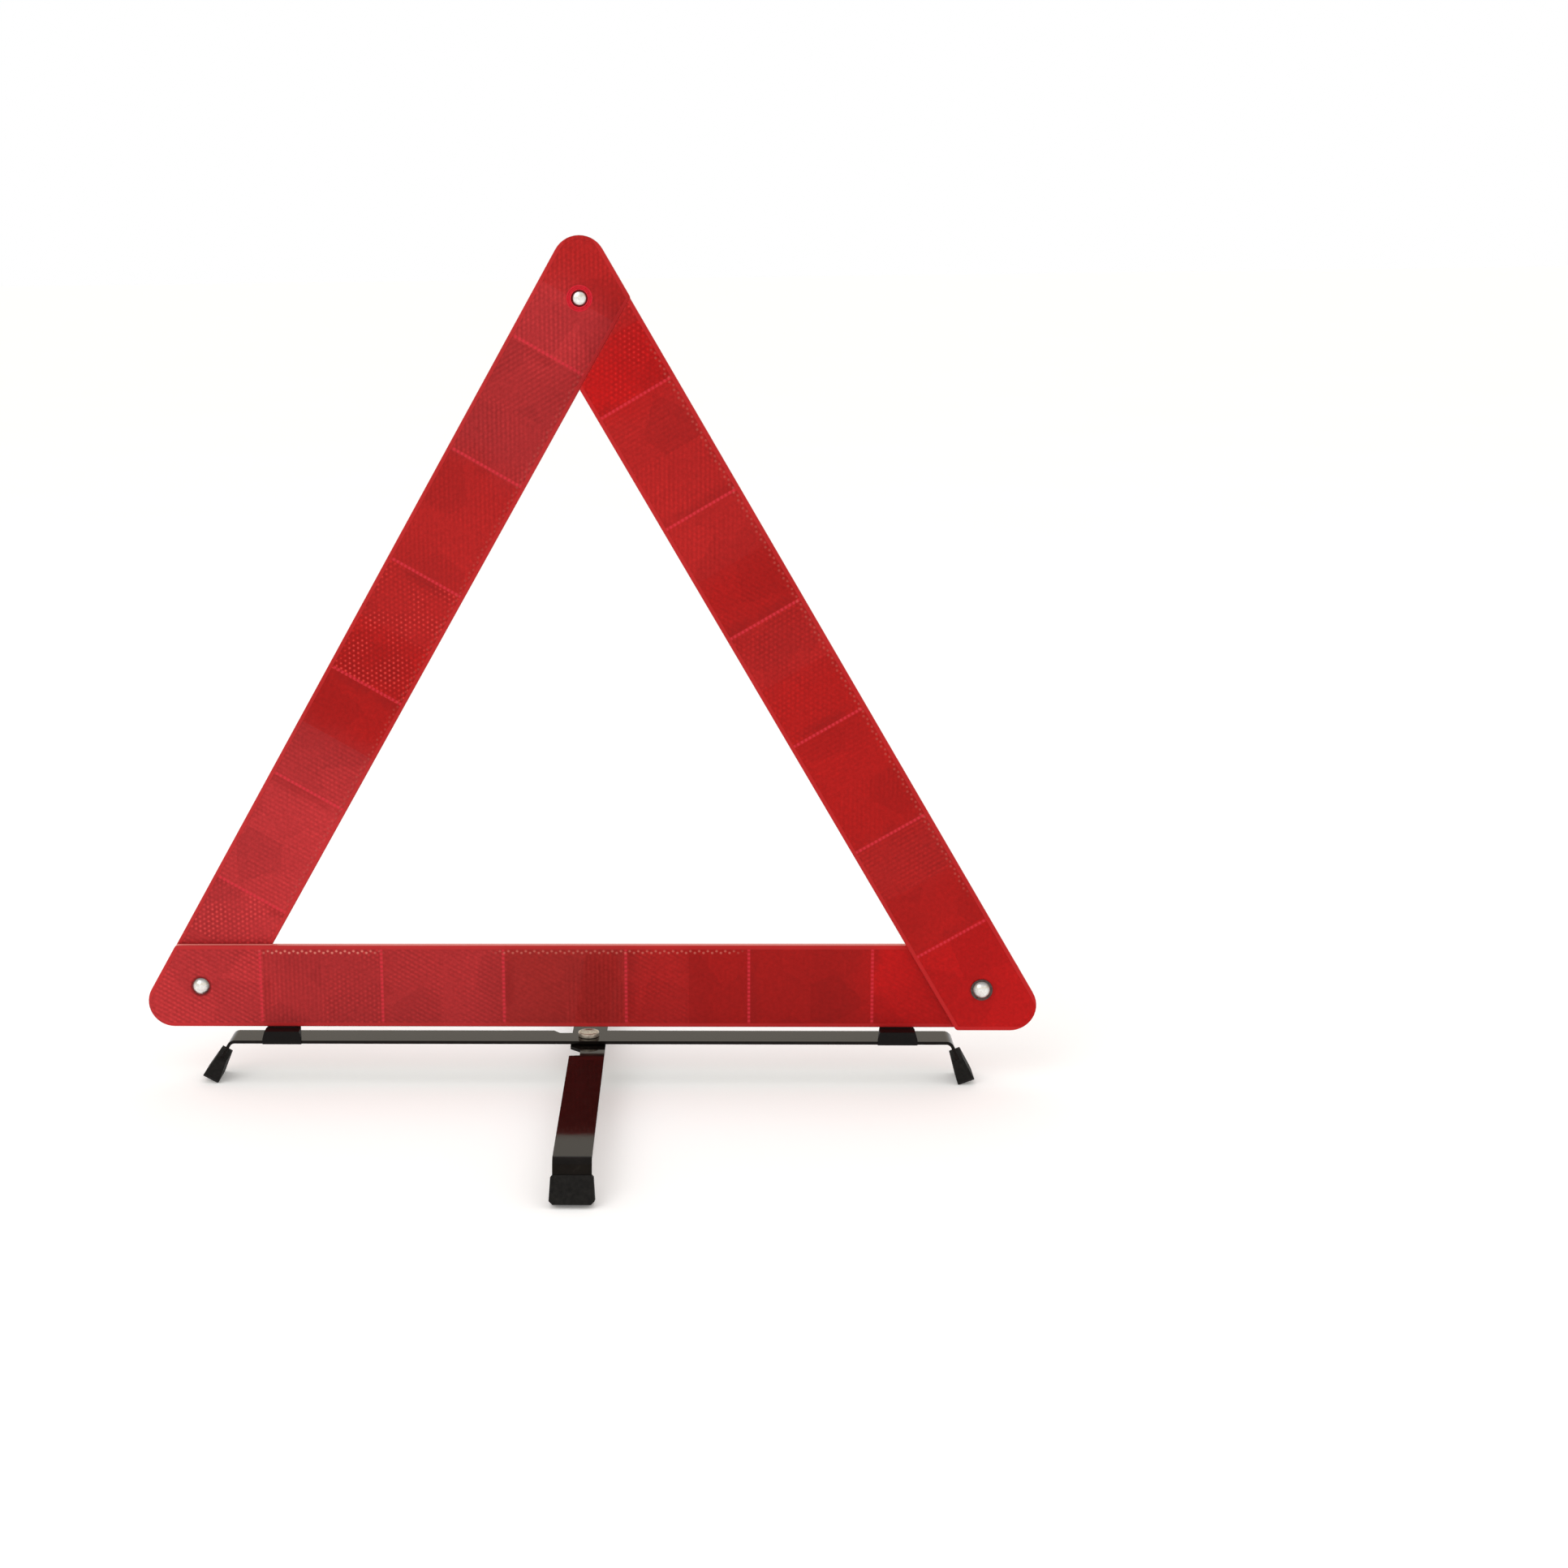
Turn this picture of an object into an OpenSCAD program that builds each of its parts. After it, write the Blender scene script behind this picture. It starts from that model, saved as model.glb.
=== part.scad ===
// Folding road warning triangle.
// Three hollow reflector arms turn on rivets and fold over each other. The base arm stands on
// a steel cross strip, and a second strip swivels under it to give the front and rear feet.
// X is the triangle's width, Y is its depth with the reflecting front at -Y, and Z is up.
// The origin is on the floor, at the centre of the object's box.

/* [Triangle] */
// Side of the triangle, measured to its sharp corners before they are rounded
side = 450; // [430:5:470]
// Width of an arm
arm_w = 41; // [36:0.5:42]
// Thickness of an arm: two lenses, rim to rim
arm_t = 4.4; // [4:0.2:4.8]
// Radius of the triangle's outer corners
corner_r = 12.5; // [8:0.5:16]
// Radius of the blunt corner of an arm's head, where the next arm's inner edge starts
blunt_r = 2; // [1:0.5:4]
// Wall of a lens behind its front face
lens_wall = 1.4; // [1.2:0.1:1.5]
// Width of the rim where two lenses are welded together
rim_w = 1.6; // [1.2:0.1:2.4]
// Air gap between arms that lie one behind the other
arm_gap = 0.5; // [0.4:0.1:0.6]

/* [Rivets] */
// Radius of the arms' rivets
rivet_r = 2; // [1.8:0.1:2.4]
// Radius of a pivot rivet's domed head
dome_r = 4.2; // [3.8:0.1:4.6]
// Height of a pivot rivet's domed head
dome_h = 2.4; // [1.6:0.1:2.8]
// Radius of the snap stud's flush dome
stud_r = 3.85; // [3.5:0.05:4.2]
// Outer radius of the moulded ring round the snap stud
ring_r = 6.1; // [5.6:0.1:6.6]
// Radius of the centre rivet's shank
centre_shank_r = 2.5; // [2.3:0.1:2.6]
// Radius of the centre rivet's head
centre_head_r = 5.15; // [4.8:0.05:5.5]
// Height of the centre rivet's head
centre_head_h = 2.3; // [1.8:0.1:2.8]
// Radial clearance where a part turns on a rivet
turn_gap = 0.05; // [0.02:0.01:0.1]

/* [Stand] */
// Width of both steel strips
strip_w = 17; // [16:0.5:18]
// Thickness of both steel strips
strip_t = 1.6; // [1.4:0.1:1.8]
// Height of the cross strip's top face above the floor
strip_top = 21.7; // [21:0.1:24]
// Inside radius of the strips' bends
bend_r = 2.6; // [2:0.1:3]
// Gap between the two strips
strip_gap = 0.6; // [0.5:0.1:0.8]
// Half length of the cross strip's flat part
cross_flat = 173; // [165:1:175]
// Lean of the left leg from upright
left_lean = 29; // [18:1:32]
// Lean of the right leg from upright
right_lean = 21; // [18:1:32]
// Length of the swivel strip's flat part, from the pivot to the front bend
front_flat = 159.4; // [140:0.2:162]
// Length of the swivel strip's flat part, from the pivot to the rear bend
rear_flat = 93; // [80:1:120]
// Lean of the swivel strip's legs from upright
swivel_lean = 16; // [10:1:24]
// Distance of each clip from the middle of the cross strip
clip_x = 149.5; // [130:0.5:155]
// Height of the clips between the cross strip and the base arm
clip_h = 5.2; // [4:0.1:6]

/* [Feet] */
// Length of a foot cap
cap_len = 12.4; // [10:0.1:14]
// Thickness of a foot cap at its top
cap_top_t = 5.4; // [4.6:0.1:6]
// Thickness of a foot cap at its bottom
cap_bottom_t = 8.4; // [7:0.1:9]
// Width of a foot cap at its top
cap_top_w = 18.4; // [18:0.1:19.5]
// Width of a foot cap at its bottom
cap_bottom_w = 19.6; // [18:0.1:21]

/* [Hidden] */
$fn = 48;
// Every separate piece, from the triangle down to the feet

// Arms: each rivet is the same distance from the three edges round it
arm_h = arm_w / 2;
pivot_span = side - 2 * arm_h / tan(30);
base_z = strip_top + clip_h;
pivot_x = pivot_span / 2;
pivot_z = base_z + arm_h;
apex_z = pivot_z + pivot_span * sin(60);
arm_pitch = arm_t + arm_gap;
boss_r = 7;
washer_play = 0.1;

// Small parts at the pivots
spacer_t = arm_gap - washer_play;
spacer_r = 6;
pivot_washer_r = 5.2;
pivot_washer_t = 0.5;
rear_washer_t = 0.8;
formed_r = 3.6;
formed_h = 1.4;
sink_r = 3.6;
sink_h = 1.2;
dimple_r = 1.1;
dimple_h = 0.5;
ring_depth = 1.3;
retainer_r = 4.4;
retainer_t = 0.8;
nose_r = 2.4;
nose_len = 4;
neck_r = 1.7;
neck_len = 1.2;

// Strips: heights of their middle planes, and their bends
cross_mid = strip_top - strip_t / 2;
swivel_mid = cross_mid - strip_t - strip_gap;
swivel_under = swivel_mid - strip_t / 2;
mid_r = bend_r + strip_t / 2;
leg_end_gap = 2.6;
bend_steps = 14;

// Notches at the pivot, and the stop: a button on the cross strip in a curved slot of the swivel strip
notch_in = 4.6;
cross_notch = [[-17.8, 9], [-14.3, notch_in], [-8.2, notch_in], [-8.2, 9]];
swivel_notch = [[-9, -9], [-3.4, -14.8], [-3.4, -23.4], [-9, -24.2]];
stop_ring = 5.6;
stop_r = 1.15;
stop_play = 0.1;
stop_angle = 45;
fold_angle = 90;

// Centre rivet stack
centre_spacer_r = 4;
spring_r = 7;
spring_t = 0.5;
spring_rise = 0.5;
end_washer_r = 5.5;
end_washer_t = 0.8;
centre_formed_r = 4;
centre_formed_h = 1.6;
spring_top = swivel_under - washer_play;
end_washer_top = spring_top - spring_t - spring_rise;

// Clips
clip_base_w = 19.2;
clip_top_w = 17;
clip_back_w = 13;
clip_lip = 1.1;
clip_play = 0.3;
tongue_w = 12;
tongue_t = 1.5;
tongue_h = 6;
clip_rivet_r = 1.6;
clip_rivet_head = 3;
clip_rivet_up = 3.4;
clip_rivet_sink = 1.2;

// Feet
cap_corner = 1.6;
floor_cut = 0.4;
big = 400;

// Where each leg stands: the foot cap's bottom centre, its height and its reach
function cap_lift(lean) = cap_bottom_t / 2 * sin(lean) - floor_cut;
function bend_end(mid, lean) = mid - mid_r * (1 - sin(lean));
function leg_len(mid, lean) = (bend_end(mid, lean) - cap_lift(lean)) / cos(lean);
function leg_reach(flat, mid, lean) =
  flat + mid_r * cos(lean) + leg_len(mid, lean) * sin(lean) + cap_bottom_t / 2 * cos(lean);
front_edge = leg_reach(front_flat, swivel_mid, swivel_lean);
rear_edge = leg_reach(rear_flat, swivel_mid, swivel_lean);
depth_shift = (front_edge - rear_edge) / 2;

// ---- Frames ----

// From the stand's own axes, through the centre rivet, to the origin of the whole object
module placed() {
  translate([0, depth_shift, 0]) children();
}

// An arm's own frame: X from its tail rivet to its head rivet, Z towards the outer edge
module base_frame() {
  placed() translate([pivot_x, 0, pivot_z]) rotate([0, 180, 0]) children();
}

module left_frame() {
  placed() translate([-pivot_x, arm_pitch, pivot_z]) rotate([0, -60, 0]) children();
}

module right_frame() {
  placed() translate([0, -arm_pitch, apex_z]) rotate([0, 60, 0]) children();
}

// Extrudes an outline drawn in X and Z from y0 back to y1
module slab(y0, y1) {
  translate([0, y1, 0]) rotate([90, 0, 0]) linear_extrude(y1 - y0) children();
}

// Turns a profile of radius and depth round a Y axis, with depth 0 at the front
module turned(x, y, z) {
  placed() translate([x, y, z]) rotate([-90, 0, 0]) rotate_extrude() children();
}

// Turns a profile of radius and height round the centre rivet's axis
module turned_up(z) {
  placed() translate([0, 0, z]) rotate_extrude() children();
}

// ---- Arms ----

// An arm's solid shape from y0 back to y1, drawn in by inset all round. When it is trimmed, its
// tail ends where the next arm's head takes its place.
module arm_block(y0, y1, inset, trimmed) {
  h = arm_h - inset;
  tip_r = corner_r - inset;
  low_r = max(blunt_r - inset, 0.4);
  tip = [pivot_span + (h - tip_r) / tan(30), h - tip_r];
  low = [pivot_span + h * tan(30) - low_r / tan(60), low_r - h];
  lean = [cos(30), -sin(30)];
  tail_top = trimmed ? [(arm_h + inset - h * sin(30)) / cos(30), h] : [0, h];
  tail_low = trimmed ? [(arm_h + inset + h * sin(30)) / cos(30), -h] : [0, -h];
  if (!trimmed) slab(y0, y1) circle(r = h);
  slab(y0, y1) translate(tip) circle(r = tip_r);
  slab(y0, y1) translate(low) circle(r = low_r);
  slab(y0, y1) polygon([
    tail_top, [tip[0], h], tip + tip_r * lean, low + low_r * lean, [low[0], -h], tail_low
  ]);
}

// A round post or hole at a rivet, u along the arm
module round_slab(y0, y1, u, r) {
  slab(y0, y1) translate([u, 0]) circle(r = r);
}

// One lens: a tray whose rim and bosses reach the middle plane of the arm, drawn as the front one
module lens(tail_r, head_r, trimmed = false) {
  difference() {
    arm_block(-arm_t / 2, 0, 0, trimmed);
    difference() {
      arm_block(lens_wall - arm_t / 2, 1, rim_w, trimmed);
      round_slab(-arm_t, 2, 0, boss_r);
      round_slab(-arm_t, 2, pivot_span, boss_r);
    }
    round_slab(-arm_t, 2, 0, tail_r);
    round_slab(-arm_t, 2, pivot_span, head_r);
  }
}

module back_lens(tail_r, head_r, trimmed = false) {
  mirror([0, 1, 0]) lens(tail_r, head_r, trimmed);
}

// The clips' tongues, which reach up between the base arm's two lenses
module tongues() {
  for (x = [-clip_x, clip_x])
    translate([x - tongue_w / 2, -tongue_t / 2, base_z]) cube([tongue_w, tongue_t, tongue_h]);
}

module base_front_lens() {
  color([0.68, 0.11, 0.13]) difference() {
    base_frame() lens(rivet_r, rivet_r);
    placed() tongues();
  }
}

module base_back_lens() {
  color([0.6, 0.1, 0.12]) difference() {
    base_frame() back_lens(rivet_r, rivet_r);
    placed() tongues();
    turned(pivot_x, arm_t / 2 - sink_h, pivot_z)
      polygon([[0, 0], [rivet_r, 0], [sink_r, sink_h], [0, sink_h]]);
  }
}

module left_front_lens() {
  color([0.68, 0.11, 0.13]) left_frame() difference() {
    lens(rivet_r + turn_gap, rivet_r);
    round_slab(-arm_t, ring_depth - arm_t / 2, pivot_span, ring_r);
  }
}

module left_back_lens() {
  color([0.6, 0.1, 0.12]) left_frame() back_lens(rivet_r + turn_gap, rivet_r);
}

module right_front_lens() {
  color([0.68, 0.11, 0.13]) right_frame() lens(rivet_r, rivet_r + turn_gap, true);
}

module right_back_lens() {
  color([0.6, 0.1, 0.12]) right_frame() back_lens(rivet_r, rivet_r + turn_gap, true);
}

// ---- Rivets and washers of the arms ----

// Profile of a domed head that stands h proud in front of depth 0
module dome_profile(r, h) {
  ball = (r * r + h * h) / (2 * h);
  intersection() {
    translate([0, ball - h]) circle(r = ball);
    translate([0, -h]) square([r, h]);
  }
}

module washer(x, y, z, inner, outer, t) {
  turned(x, y, z) translate([inner, 0]) square([outer - inner, t]);
}

module left_pivot_rivet() {
  grip = arm_t + arm_pitch + washer_play + rear_washer_t;
  color([0.8, 0.8, 0.8]) turned(-pivot_x, -arm_t / 2, pivot_z) difference() {
    union() {
      dome_profile(dome_r, dome_h);
      square([rivet_r, grip]);
      translate([0, grip]) square([formed_r, formed_h]);
    }
    translate([0, -dome_h]) square([dimple_r, dimple_h]);
  }
}

module left_spacer_washer() {
  color([0.85, 0.85, 0.82]) washer(-pivot_x, arm_t / 2, pivot_z, rivet_r, spacer_r, spacer_t);
}

module left_rear_washer() {
  y = arm_pitch + arm_t / 2 + washer_play;
  color([0.7, 0.7, 0.7]) washer(-pivot_x, y, pivot_z, rivet_r, pivot_washer_r, rear_washer_t);
}

module right_pivot_rivet() {
  grip = arm_t + arm_pitch + washer_play + pivot_washer_t;
  color([0.8, 0.8, 0.8]) turned(pivot_x, arm_t / 2 - grip, pivot_z) difference() {
    union() {
      dome_profile(dome_r, dome_h);
      square([rivet_r, grip]);
      translate([0, grip - sink_h]) polygon([[0, 0], [rivet_r, 0], [sink_r, sink_h], [0, sink_h]]);
    }
    translate([0, -dome_h]) square([dimple_r, dimple_h]);
  }
}

module right_spacer_washer() {
  y = -arm_t / 2 - spacer_t;
  color([0.85, 0.85, 0.82]) washer(pivot_x, y, pivot_z, rivet_r, spacer_r, spacer_t);
}

module right_front_washer() {
  y = -arm_t / 2 - arm_pitch - washer_play - pivot_washer_t;
  color([0.25, 0.22, 0.22]) washer(pivot_x, y, pivot_z, rivet_r, pivot_washer_r, pivot_washer_t);
}

// Snap stud of the two upright arms: its dome lies flush in the left arm's front face
module top_snap_stud() {
  grip = arm_t - ring_depth + retainer_t;
  color([0.8, 0.8, 0.8]) turned(0, arm_pitch - arm_t / 2 + ring_depth, apex_z) union() {
    dome_profile(stud_r, ring_depth);
    square([rivet_r, grip]);
    translate([0, grip]) square([neck_r, neck_len]);
    translate([0, grip + neck_len]) square([nose_r, nose_len - neck_len]);
  }
}

module top_snap_ring() {
  groove = 0.5;
  color([0.62, 0.08, 0.1]) turned(0, arm_pitch - arm_t / 2, apex_z) difference() {
    translate([stud_r, 0]) square([ring_r - stud_r, ring_depth]);
    translate([stud_r + groove, 0]) square([ring_r - stud_r - 2 * groove, groove]);
  }
}

module top_snap_retainer() {
  color([0.7, 0.7, 0.7])
    washer(0, arm_pitch + arm_t / 2, apex_z, rivet_r, retainer_r, retainer_t);
}

// ---- Strips ----

// One side of a strip's end in side view, off its middle line by off: the bend, then the leg
function end_line(flat, mid, lean, off) = concat(
  [for (i = [0 : bend_steps])
    [flat, mid - mid_r] + (mid_r + off) * [sin(i * (90 - lean) / bend_steps),
                                           cos(i * (90 - lean) / bend_steps)]],
  [[flat, bend_end(mid, lean)] + (mid_r + off) * [cos(lean), 0] + off * [0, sin(lean)]
    + (leg_len(mid, lean) - leg_end_gap) * [sin(lean), -cos(lean)]]
);
function backwards(points) = [for (i = [len(points) - 1 : -1 : 0]) points[i]];
function mirrored(points) = [for (p = points) [-p[0], p[1]]];

// A strip along X, with its own flat length and lean at each end
module strip(flat_left, flat_right, mid, lean_left, lean_right) {
  top = strip_t / 2;
  slab(-strip_w / 2, strip_w / 2) polygon(concat(
    backwards(mirrored(end_line(flat_left, mid, lean_left, top))),
    end_line(flat_right, mid, lean_right, top),
    backwards(end_line(flat_right, mid, lean_right, -top)),
    mirrored(end_line(flat_left, mid, lean_left, -top))
  ));
}

// Curved slot that the stop button runs in as the swivel strip folds
module stop_slot() {
  slot_r = stop_r + stop_play;
  intersection() {
    difference() {
      circle(r = stop_ring + slot_r);
      circle(r = stop_ring - slot_r);
    }
    polygon([[0, 0], [big, big], [0, big], [-big, big]]);
  }
  for (a = [stop_angle, stop_angle + fold_angle])
    rotate(a) translate([stop_ring, 0]) circle(r = slot_r);
}

module cross_strip() {
  color([0.08, 0.07, 0.07]) placed() {
    difference() {
      strip(cross_flat, cross_flat, cross_mid, left_lean, right_lean);
      linear_extrude(big) polygon(cross_notch);
      cylinder(r = centre_shank_r, h = big);
      for (x = [-clip_x, clip_x]) translate([x, 0, strip_top - strip_t]) {
        cylinder(r = clip_rivet_r, h = big);
        cylinder(r1 = clip_rivet_head, r2 = clip_rivet_r, h = clip_rivet_sink, $fn = 48);
      }
    }
    rotate(stop_angle) translate([stop_ring, 0, swivel_under + 2 * washer_play])
      cylinder(r = stop_r, h = cross_mid - swivel_under - 2 * washer_play);
  }
}

module swivel_strip() {
  color([0.08, 0.06, 0.06]) placed() difference() {
    rotate(-90) strip(rear_flat, front_flat, swivel_mid, swivel_lean, swivel_lean);
    linear_extrude(big) polygon(swivel_notch);
    linear_extrude(big) stop_slot();
    cylinder(r = centre_shank_r + turn_gap, h = big);
  }
}

// ---- Clips ----

// A clip sits on the cross strip, wraps over its edges and holds the base arm by its tongue.
// It narrows towards the back, and its top stands clear of the folded arms on both sides.
module clip(x) {
  depth = strip_w + 2 * clip_lip;
  placed() difference() {
    union() {
      intersection() {
        translate([x, 0, 0]) slab(-depth / 2, depth / 2) polygon([
          [-clip_base_w / 2, strip_top - strip_t], [clip_base_w / 2, strip_top - strip_t],
          [clip_base_w / 2, strip_top + 1], [clip_top_w / 2, base_z - clip_play],
          [-clip_top_w / 2, base_z - clip_play], [-clip_base_w / 2, strip_top + 1]
        ]);
        translate([x, 0, 0]) linear_extrude(big) polygon([
          [-clip_base_w / 2, -depth / 2], [clip_base_w / 2, -depth / 2],
          [clip_back_w / 2, depth / 2], [-clip_back_w / 2, depth / 2]
        ]);
      }
      translate([x - clip_back_w / 2, -arm_t / 2, strip_top]) cube([clip_back_w, arm_t, clip_h]);
      translate([x - tongue_w / 2, -tongue_t / 2, base_z - 1]) cube([tongue_w, tongue_t, tongue_h + 1]);
    }
    translate([x - clip_base_w, -strip_w / 2, 0]) cube([2 * clip_base_w, strip_w, strip_top]);
    translate([x, 0, 0]) cylinder(r = clip_rivet_r, h = strip_top + clip_rivet_up);
  }
}

module left_clip() {
  color([0.07, 0.06, 0.06]) clip(-clip_x);
}

module right_clip() {
  color([0.07, 0.06, 0.06]) clip(clip_x);
}

// Countersunk rivets, flush with the cross strip's underside so that the swivel strip passes
module clip_rivets() {
  under = strip_top - strip_t;
  color([0.3, 0.3, 0.3]) placed() for (x = [-clip_x, clip_x]) translate([x, 0, under]) {
    cylinder(r = clip_rivet_r, h = strip_t + clip_rivet_up);
    cylinder(r1 = clip_rivet_head, r2 = clip_rivet_r, h = clip_rivet_sink, $fn = 48);
  }
}

// ---- Centre rivet stack ----

module centre_rivet() {
  rim = 0.9;
  dish = 0.8;
  grip = strip_top - end_washer_top + end_washer_t;
  color([0.75, 0.72, 0.68]) turned_up(strip_top - grip - centre_formed_h) difference() {
    union() {
      square([centre_formed_r, centre_formed_h]);
      square([centre_shank_r, grip + centre_formed_h]);
      translate([0, grip + centre_formed_h]) square([centre_head_r, centre_head_h]);
    }
    translate([0, grip + centre_formed_h + centre_head_h])
      polygon([[0, -dish], [centre_head_r - 2 * rim, -dish], [centre_head_r - rim, 0], [0, 0]]);
  }
}

module centre_spacer() {
  t = strip_gap - washer_play;
  color([0.85, 0.85, 0.82]) turned_up(strip_top - strip_t - t)
    translate([centre_shank_r, 0]) square([centre_spacer_r - centre_shank_r, t]);
}

// Dished spring washer: it presses the strips together and gives the swivel its friction
module spring_washer() {
  in = centre_shank_r;
  color([0.6, 0.6, 0.62]) turned_up(end_washer_top) polygon([
    [in, 0], [spring_r, spring_rise], [spring_r, spring_rise + spring_t], [in, spring_t]
  ]);
}

module end_washer() {
  color([0.7, 0.7, 0.7]) turned_up(end_washer_top - end_washer_t)
    translate([centre_shank_r, 0]) square([end_washer_r - centre_shank_r, end_washer_t]);
}

// ---- Feet ----

// A rubber cap drawn upright on its bottom centre, wide along Y
module cap() {
  half_b = cap_bottom_w / 2;
  half_t = cap_top_w / 2;
  intersection() {
    slab(-big, big) polygon([
      [-cap_bottom_t / 2, 0], [cap_bottom_t / 2, 0], [cap_top_t / 2, cap_len], [-cap_top_t / 2, cap_len]
    ]);
    rotate(90) slab(-big, big) polygon([
      [cap_corner - half_b, 0], [half_b - cap_corner, 0], [half_b, cap_corner],
      [half_t, cap_len - cap_corner / 2], [half_t - cap_corner / 2, cap_len],
      [cap_corner / 2 - half_t, cap_len], [-half_t, cap_len - cap_corner / 2],
      [-half_b, cap_corner]
    ]);
  }
}

// The cap of a leg that leaves the flat at +X, cut flat where it stands on the floor
module foot(flat, mid, lean) {
  difference() {
    translate([flat + mid_r * cos(lean), 0, bend_end(mid, lean)]) rotate([0, -lean, 0])
      translate([0, 0, -leg_len(mid, lean)]) difference() {
        cap();
        translate([-strip_t / 2, -strip_w / 2, leg_end_gap]) cube([strip_t, strip_w, cap_len]);
      }
    translate([0, -big / 2, -big]) cube([big, big, big]);
  }
}

module left_foot() {
  color([0.1, 0.1, 0.1]) placed() mirror([1, 0, 0])
    foot(cross_flat, cross_mid, left_lean);
}

module right_foot() {
  color([0.1, 0.1, 0.1]) placed() foot(cross_flat, cross_mid, right_lean);
}

module front_foot() {
  color([0.1, 0.1, 0.1]) placed() rotate(-90)
    foot(front_flat, swivel_mid, swivel_lean);
}

module rear_foot() {
  color([0.1, 0.1, 0.1]) placed() rotate(90)
    foot(rear_flat, swivel_mid, swivel_lean);
}

base_front_lens();
base_back_lens();
left_front_lens();
left_back_lens();
right_front_lens();
right_back_lens();
left_pivot_rivet();
left_spacer_washer();
left_rear_washer();
right_pivot_rivet();
right_spacer_washer();
right_front_washer();
top_snap_stud();
top_snap_ring();
top_snap_retainer();
cross_strip();
swivel_strip();
left_clip();
right_clip();
clip_rivets();
centre_rivet();
centre_spacer();
spring_washer();
end_washer();
left_foot();
right_foot();
front_foot();
rear_foot();
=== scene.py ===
"""Looks of the folding warning triangle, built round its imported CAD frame.

Everything is in metres in the frame's own axes: X is the width, -Y the reflecting front, Z up.
Each arm also has its own frame: u runs from its tail rivet to its head rivet, v towards its
outer edge, and depth d from its front face back.
"""

import math

import bmesh
import bpy
from mathutils import Matrix, Vector


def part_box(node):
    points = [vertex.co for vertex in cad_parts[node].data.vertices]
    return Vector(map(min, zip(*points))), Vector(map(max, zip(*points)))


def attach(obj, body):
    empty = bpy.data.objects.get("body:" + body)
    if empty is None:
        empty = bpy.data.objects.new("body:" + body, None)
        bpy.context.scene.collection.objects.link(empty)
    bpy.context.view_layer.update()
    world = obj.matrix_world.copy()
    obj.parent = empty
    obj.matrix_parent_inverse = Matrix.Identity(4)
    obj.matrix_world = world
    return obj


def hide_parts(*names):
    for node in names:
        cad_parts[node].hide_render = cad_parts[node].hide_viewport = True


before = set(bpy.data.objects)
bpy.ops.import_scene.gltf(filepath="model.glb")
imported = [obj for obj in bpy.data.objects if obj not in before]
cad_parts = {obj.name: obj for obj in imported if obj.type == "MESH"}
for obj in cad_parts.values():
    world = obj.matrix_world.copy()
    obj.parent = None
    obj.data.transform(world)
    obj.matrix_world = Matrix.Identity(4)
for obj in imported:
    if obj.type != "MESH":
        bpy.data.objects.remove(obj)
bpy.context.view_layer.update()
MM = 0.001

# ---- Sizes read from the frame ----


def centre(node):
    low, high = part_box(node)
    return (low + high) / 2


left_pivot = centre("left_pivot_rivet")
right_pivot = centre("right_pivot_rivet")
apex = centre("top_snap_stud")
span = right_pivot.x - left_pivot.x
base_low, base_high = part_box("base_front_lens")
arm_half = left_pivot.z - base_low.z
lens_depth = base_high.y - base_low.y

# ---- Finish sizes ----

CORNER_R = 12.5 * MM  # outer corner of an arm's head
BLUNT_R = 2 * MM  # corner where the next arm's inner edge starts
EDGE_R = 0.55 * MM  # rounding of the arms' outer edges
EDGE_STEPS = 4
RIM = 1.9 * MM  # plain rim round the reflecting panel
PANEL_SINK = 0.12 * MM  # depth of the panel below the rim
WELD_GROOVE = 0.18 * MM  # half width of the groove between two lenses
ARC_STEPS = 14
HOLE_STEPS = 48
RIVET_R = 2 * MM
TURNING_R = 2.05 * MM  # a hole that turns on a rivet
RING_R = 6.1 * MM  # the hole that the snap's ring fills
SUNK_HEAD_R = 3.6 * MM
SUNK_HEAD_H = 1.2 * MM
FORMED_R = 3.6 * MM
DIMPLE_R = 1.1 * MM  # the dimple in the middle of a domed head
DIMPLE_DEPTH = 0.12 * MM
DIMPLE_HALF_DEPTH = 0.1 * MM  # half way out from its middle
NECK_R = 1.7 * MM  # the snap stud's neck and nose
NECK_LEN = 1.2 * MM
NOSE_R = 2.4 * MM
CENTRE_SHANK_R = 2.5 * MM
CENTRE_FORMED_R = 4 * MM
CENTRE_RIM = 0.75 * MM  # the centre rivet's rim and the dish inside it
CENTRE_DISH = 0.6 * MM
RING_GROOVE = 0.3 * MM
SHARP_ANGLE = math.radians(38)  # edges sharper than this are shaded as edges
DOME_STEPS = 12
TURN_STEPS = 48
PRISM_ROW = 2.1  # between two rows of corner cubes, in millimetres
BLOCK = 59.5  # length of a block of prisms, in millimetres
FIRST_SEAM = 29.5  # from the head rivet to the first seam, in millimetres
PRISM_CONTRAST = 0.16  # how much lighter or darker one row of prisms is
BLOCK_EDGE = 0.4  # 0 runs the half blocks' colours together, 1 changes them at their edges
FACET_SCALE = 0.045  # facets per millimetre
FACET_WOBBLE = 14.0  # how far noise moves the facets' edges, in millimetres
FACET_TONES = (0.87, 1.01)
PATCH_TONES = (0.92, 1.06)
GRAIN_TONES = (0.45, 1.55)
FADING = (0.35, 1.25)  # how far the rows fade and strengthen inside a half block
BEAD_FADE = 12  # length over which a row of dots starts and ends, in millimetres
BEAD_INSET = 0.8  # from the rim to the outer dots, in millimetres
BEAD_ZIGZAG = 0.9  # from the outer to the inner dots, in millimetres
BEAD_R = (0.3, 0.85)  # radii between which a dot fades, in millimetres
NOISE_APART = 300.0  # keeps the noise of two half blocks apart
RIVET_SHADE = (4.6, 5.6)  # radii between which the painted shade round a rivet fades, in millimetres

# ---- Node helpers ----


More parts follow.
